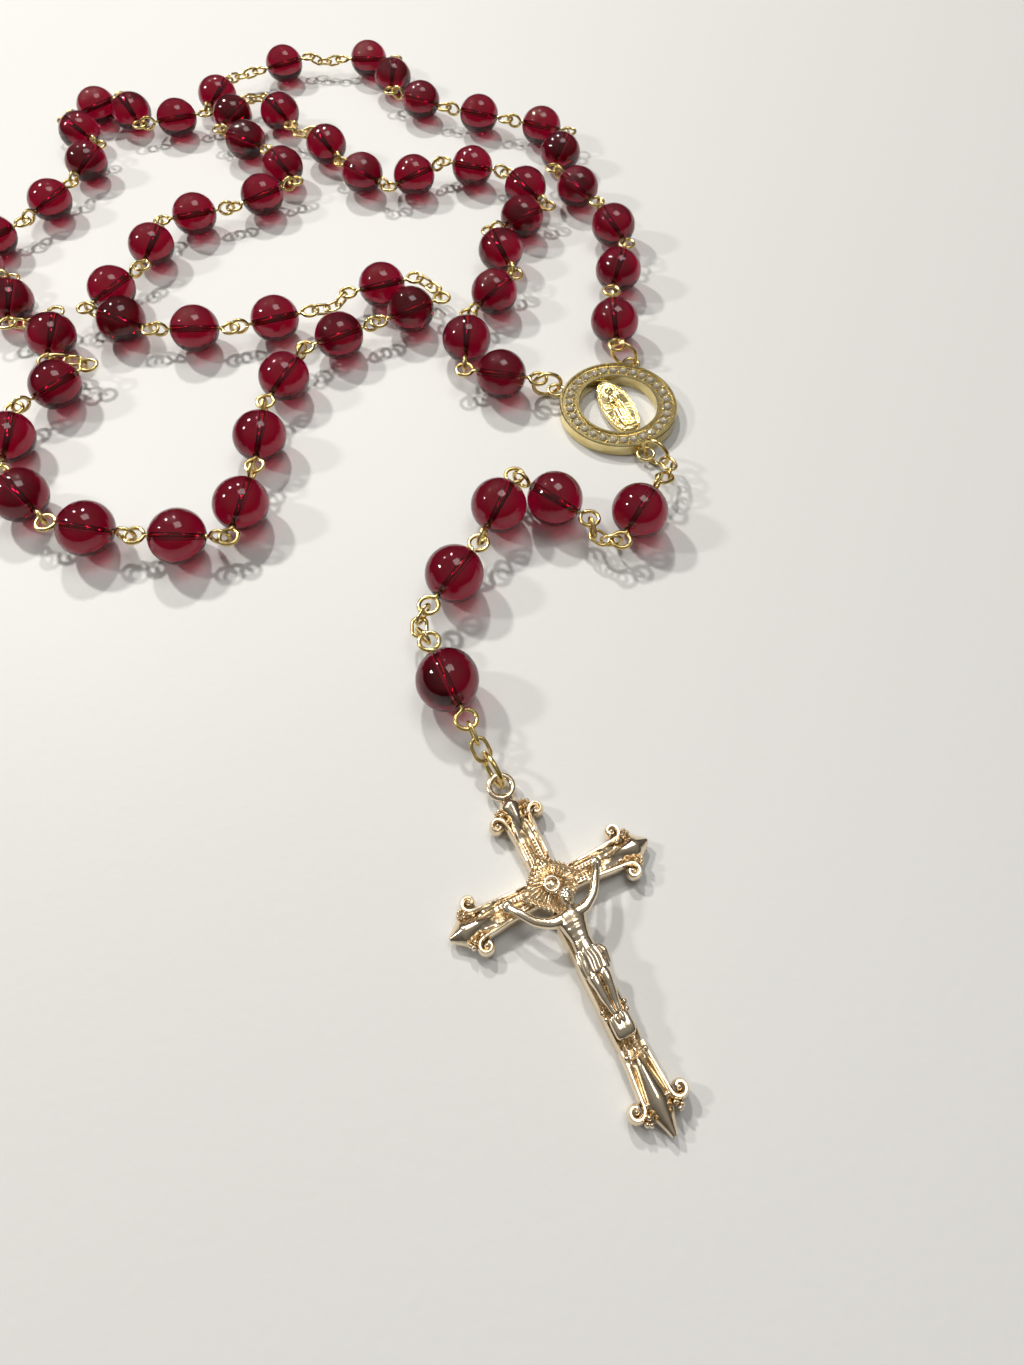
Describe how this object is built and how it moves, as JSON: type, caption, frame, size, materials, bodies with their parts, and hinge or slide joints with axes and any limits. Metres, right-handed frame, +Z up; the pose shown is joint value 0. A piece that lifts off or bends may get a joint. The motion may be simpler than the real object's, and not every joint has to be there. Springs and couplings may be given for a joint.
{
  "type": "rosary",
  "caption": "Chain rosary lying loosely in a heap: round ruby glass beads on gold eye pins, a stone-set round centre medal and a jointed pendant with a crucifix.",
  "frame": {"origin": "bottom centre of the whole lay, on the surface it rests on", "axes": "+X to the right of the lay, +Y to its far side away from the crucifix, +Z up"},
  "size_m": [0.1274, 0.2084, 0.008],
  "materials": {
    "ruby_glass": "clear dark ruby red glass, polished",
    "clear_stones": "clear cut stones",
    "rose_gold_plating": "bright rose champagne gold plating",
    "pale_gold_plating": "bright pale gold plating",
    "gold_plated_wire": "bright gold plated wire"
  },
  "bodies": {
    "loop_and_medal": {"glass_beads_decade_1": "ruby_glass", "eye_pins_decade_1": "gold_plated_wire", "glass_beads_decade_2": "ruby_glass", "eye_pins_decade_2": "gold_plated_wire", "glass_beads_decade_3": "ruby_glass", "eye_pins_decade_3": "gold_plated_wire", "glass_beads_decade_4": "ruby_glass", "eye_pins_decade_4": "gold_plated_wire", "glass_beads_decade_5": "ruby_glass", "eye_pins_decade_5": "gold_plated_wire", "our_father_pin_1": "gold_plated_wire", "our_father_pin_2": "gold_plated_wire", "our_father_pin_3": "gold_plated_wire", "our_father_pin_4": "gold_plated_wire", "chain_links_1": "gold_plated_wire", "chain_links_2": "gold_plated_wire", "chain_links_3": "gold_plated_wire", "chain_links_4": "gold_plated_wire", "chain_links_5": "gold_plated_wire", "chain_links_6": "gold_plated_wire", "chain_links_7": "gold_plated_wire", "chain_links_8": "gold_plated_wire", "medal_ring_left": "gold_plated_wire", "medal_ring_right": "gold_plated_wire", "medal_frame": "pale_gold_plating", "medal_stones": "clear_stones", "medal_figure": "pale_gold_plating"},
    "our_father_bead_1": {"our_father_bead_1": "ruby_glass"},
    "our_father_bead_2": {"our_father_bead_2": "ruby_glass"},
    "our_father_bead_3": {"our_father_bead_3": "ruby_glass"},
    "our_father_bead_4": {"our_father_bead_4": "ruby_glass"},
    "medal_bottom_ring": {"medal_bottom_ring": "gold_plated_wire"},
    "pendant_link_1": {"pendant_link_1": "gold_plated_wire"},
    "pendant_link_2": {"pendant_link_2": "gold_plated_wire"},
    "pendant_link_3": {"pendant_link_3": "gold_plated_wire"},
    "pendant_pin_1": {"pendant_pin_1": "gold_plated_wire"},
    "pendant_link_4": {"pendant_link_4": "gold_plated_wire"},
    "pendant_link_5": {"pendant_link_5": "gold_plated_wire"},
    "pendant_link_6": {"pendant_link_6": "gold_plated_wire"},
    "pendant_pin_2": {"pendant_pin_2": "gold_plated_wire"},
    "pendant_pin_3": {"pendant_pin_3": "gold_plated_wire"},
    "pendant_pin_4": {"pendant_pin_4": "gold_plated_wire"},
    "pendant_link_7": {"pendant_link_7": "gold_plated_wire"},
    "pendant_link_8": {"pendant_link_8": "gold_plated_wire"},
    "pendant_link_9": {"pendant_link_9": "gold_plated_wire"},
    "pendant_pin_5": {"pendant_pin_5": "gold_plated_wire"},
    "pendant_link_10": {"pendant_link_10": "gold_plated_wire"},
    "pendant_link_11": {"pendant_link_11": "gold_plated_wire"},
    "crucifix_ring": {"crucifix_ring": "gold_plated_wire"},
    "crucifix": {"crucifix_cross": "rose_gold_plating", "crucifix_corpus": "rose_gold_plating", "crucifix_halo": "rose_gold_plating"},
    "pendant_bead_1": {"pendant_bead_1": "ruby_glass"},
    "pendant_bead_2": {"pendant_bead_2": "ruby_glass"},
    "pendant_bead_3": {"pendant_bead_3": "ruby_glass"},
    "pendant_bead_4": {"pendant_bead_4": "ruby_glass"},
    "pendant_bead_5": {"pendant_bead_5": "ruby_glass"}
  },
  "joints": [
    {"name": "our_father_bead_1_spin", "type": "hinge", "parent": "loop_and_medal", "child": "our_father_bead_1", "pos_m": [-0.01346, 0.0981, 0.004], "axis": [-0.848, -0.5299, 0], "continuous": true},
    {"name": "our_father_bead_2_spin", "type": "hinge", "parent": "loop_and_medal", "child": "our_father_bead_2", "pos_m": [-0.03876, 0.0073, 0.004], "axis": [0.1736, -0.9848, 0], "continuous": true},
    {"name": "our_father_bead_3_spin", "type": "hinge", "parent": "loop_and_medal", "child": "our_father_bead_3", "pos_m": [0.01494, 0.0204, 0.004], "axis": [-0.9397, -0.342, 0], "continuous": true},
    {"name": "our_father_bead_4_spin", "type": "hinge", "parent": "loop_and_medal", "child": "our_father_bead_4", "pos_m": [-0.01136, 0.0776, 0.004], "axis": [0.5, -0.866, 0], "continuous": true},
    {"name": "medal_bottom_ring_swing", "type": "hinge", "parent": "loop_and_medal", "child": "medal_bottom_ring", "pos_m": [0.05803, -0.01637, 0.0011], "axis": [0, 0, 1], "range_deg": [-6, 6]},
    {"name": "pendant_link_1_lift", "type": "hinge", "parent": "medal_bottom_ring", "child": "pendant_link_1", "pos_m": [0.05926, -0.0174, 0.0026], "axis": [-0.6428, -0.766, 0], "range_deg": [-4, 12]},
    {"name": "pendant_link_2_swing", "type": "hinge", "parent": "pendant_link_1", "child": "pendant_link_2", "pos_m": [0.06114, -0.02004, 0.00262], "axis": [-0.0441, 0.1359, 0.9897], "range_deg": [-6, 6]},
    {"name": "pendant_link_3_lift", "type": "hinge", "parent": "pendant_link_2", "child": "pendant_link_3", "pos_m": [0.06089, -0.022, 0.00307], "axis": [-0.9613, 0.2756, 0], "range_deg": [-4, 12]},
    {"name": "pendant_pin_1_swing", "type": "hinge", "parent": "pendant_link_3", "child": "pendant_pin_1", "pos_m": [0.05958, -0.02343, 0.00364], "axis": [0.2251, 0.1759, 0.9583], "range_deg": [-6, 6]},
    {"name": "pendant_link_4_swing", "type": "hinge", "parent": "pendant_pin_1", "child": "pendant_link_4", "pos_m": [0.05273, -0.03488, 0.004], "axis": [0, 0, 1], "range_deg": [-8, 8]},
    {"name": "pendant_link_5_lift", "type": "hinge", "parent": "pendant_link_4", "child": "pendant_link_5", "pos_m": [0.05094, -0.03459, 0.0034], "axis": [0.1605, 0.987, 0], "range_deg": [-4, 12]},
    {"name": "pendant_link_6_swing", "type": "hinge", "parent": "pendant_link_5", "child": "pendant_link_6", "pos_m": [0.04946, -0.03356, 0.00321], "axis": [0, 0, 1], "range_deg": [-6, 6]},
    {"name": "pendant_pin_2_lift", "type": "hinge", "parent": "pendant_link_6", "child": "pendant_pin_2", "pos_m": [0.04878, -0.03198, 0.00381], "axis": [0.9652, 0.2616, 0], "range_deg": [-8, 8]},
    {"name": "pendant_pin_3_lift", "type": "hinge", "parent": "pendant_pin_2", "child": "pendant_pin_3", "pos_m": [0.03896, -0.02388, 0.004], "axis": [-0.6018, -0.7986, 0], "range_deg": [-8, 8]},
    {"name": "pendant_pin_4_lift", "type": "hinge", "parent": "pendant_pin_3", "child": "pendant_pin_4", "pos_m": [0.03346, -0.03425, 0.004], "axis": [-0.9272, 0.3746, 0], "range_deg": [-8, 8]},
    {"name": "pendant_link_7_swing", "type": "hinge", "parent": "pendant_pin_4", "child": "pendant_link_7", "pos_m": [0.02664, -0.04559, 0.004], "axis": [0, 0, 1], "range_deg": [-8, 8]},
    {"name": "pendant_link_8_lift", "type": "hinge", "parent": "pendant_link_7", "child": "pendant_link_8", "pos_m": [0.02569, -0.04712, 0.00336], "axis": [-0.85, 0.5268, 0], "range_deg": [-4, 12]},
    {"name": "pendant_link_9_swing", "type": "hinge", "parent": "pendant_link_8", "child": "pendant_link_9", "pos_m": [0.02557, -0.04891, 0.00317], "axis": [0, 0, 1], "range_deg": [-6, 6]},
    {"name": "pendant_pin_5_lift", "type": "hinge", "parent": "pendant_link_9", "child": "pendant_pin_5", "pos_m": [0.02643, -0.05037, 0.0038], "axis": [-0.7717, -0.636, 0], "range_deg": [-6, 6]},
    {"name": "pendant_link_10_swing", "type": "hinge", "parent": "pendant_pin_5", "child": "pendant_link_10", "pos_m": [0.03208, -0.06194, 0.004], "axis": [0, 0, 1], "range_deg": [-4, 12]},
    {"name": "pendant_link_11_lift", "type": "hinge", "parent": "pendant_link_10", "child": "pendant_link_11", "pos_m": [0.03316, -0.06407, 0.00356], "axis": [-0.891, -0.454, 0], "range_deg": [-6, 6]},
    {"name": "crucifix_ring_swing", "type": "hinge", "parent": "pendant_link_11", "child": "crucifix_ring", "pos_m": [0.03411, -0.06578, 0.00281], "axis": [0.1905, -0.3299, 0.9246], "range_deg": [-6, 6]},
    {"name": "crucifix_lift", "type": "hinge", "parent": "crucifix_ring", "child": "crucifix", "pos_m": [0.03534, -0.06777, 0.0026], "axis": [-0.848, -0.5299, 0], "range_deg": [0, 20]},
    {"name": "pendant_bead_1_spin", "type": "hinge", "parent": "pendant_pin_1", "child": "pendant_bead_1", "pos_m": [0.05573, -0.02969, 0.004], "axis": [-0.5, -0.866, 0], "continuous": true},
    {"name": "pendant_bead_2_spin", "type": "hinge", "parent": "pendant_pin_2", "child": "pendant_bead_2", "pos_m": [0.04375, -0.02749, 0.004], "axis": [-0.7986, 0.6018, 0], "continuous": true},
    {"name": "pendant_bead_3_spin", "type": "hinge", "parent": "pendant_pin_3", "child": "pendant_bead_3", "pos_m": [0.03571, -0.02869, 0.004], "axis": [-0.3746, -0.9272, 0], "continuous": true},
    {"name": "pendant_bead_4_spin", "type": "hinge", "parent": "pendant_pin_4", "child": "pendant_bead_4", "pos_m": [0.02981, -0.0405, 0.004], "axis": [-0.5299, -0.848, 0], "continuous": true},
    {"name": "pendant_bead_5_spin", "type": "hinge", "parent": "pendant_pin_5", "child": "pendant_bead_5", "pos_m": [0.02954, -0.0565, 0.004], "axis": [0.4226, -0.9063, 0], "continuous": true}
  ]
}
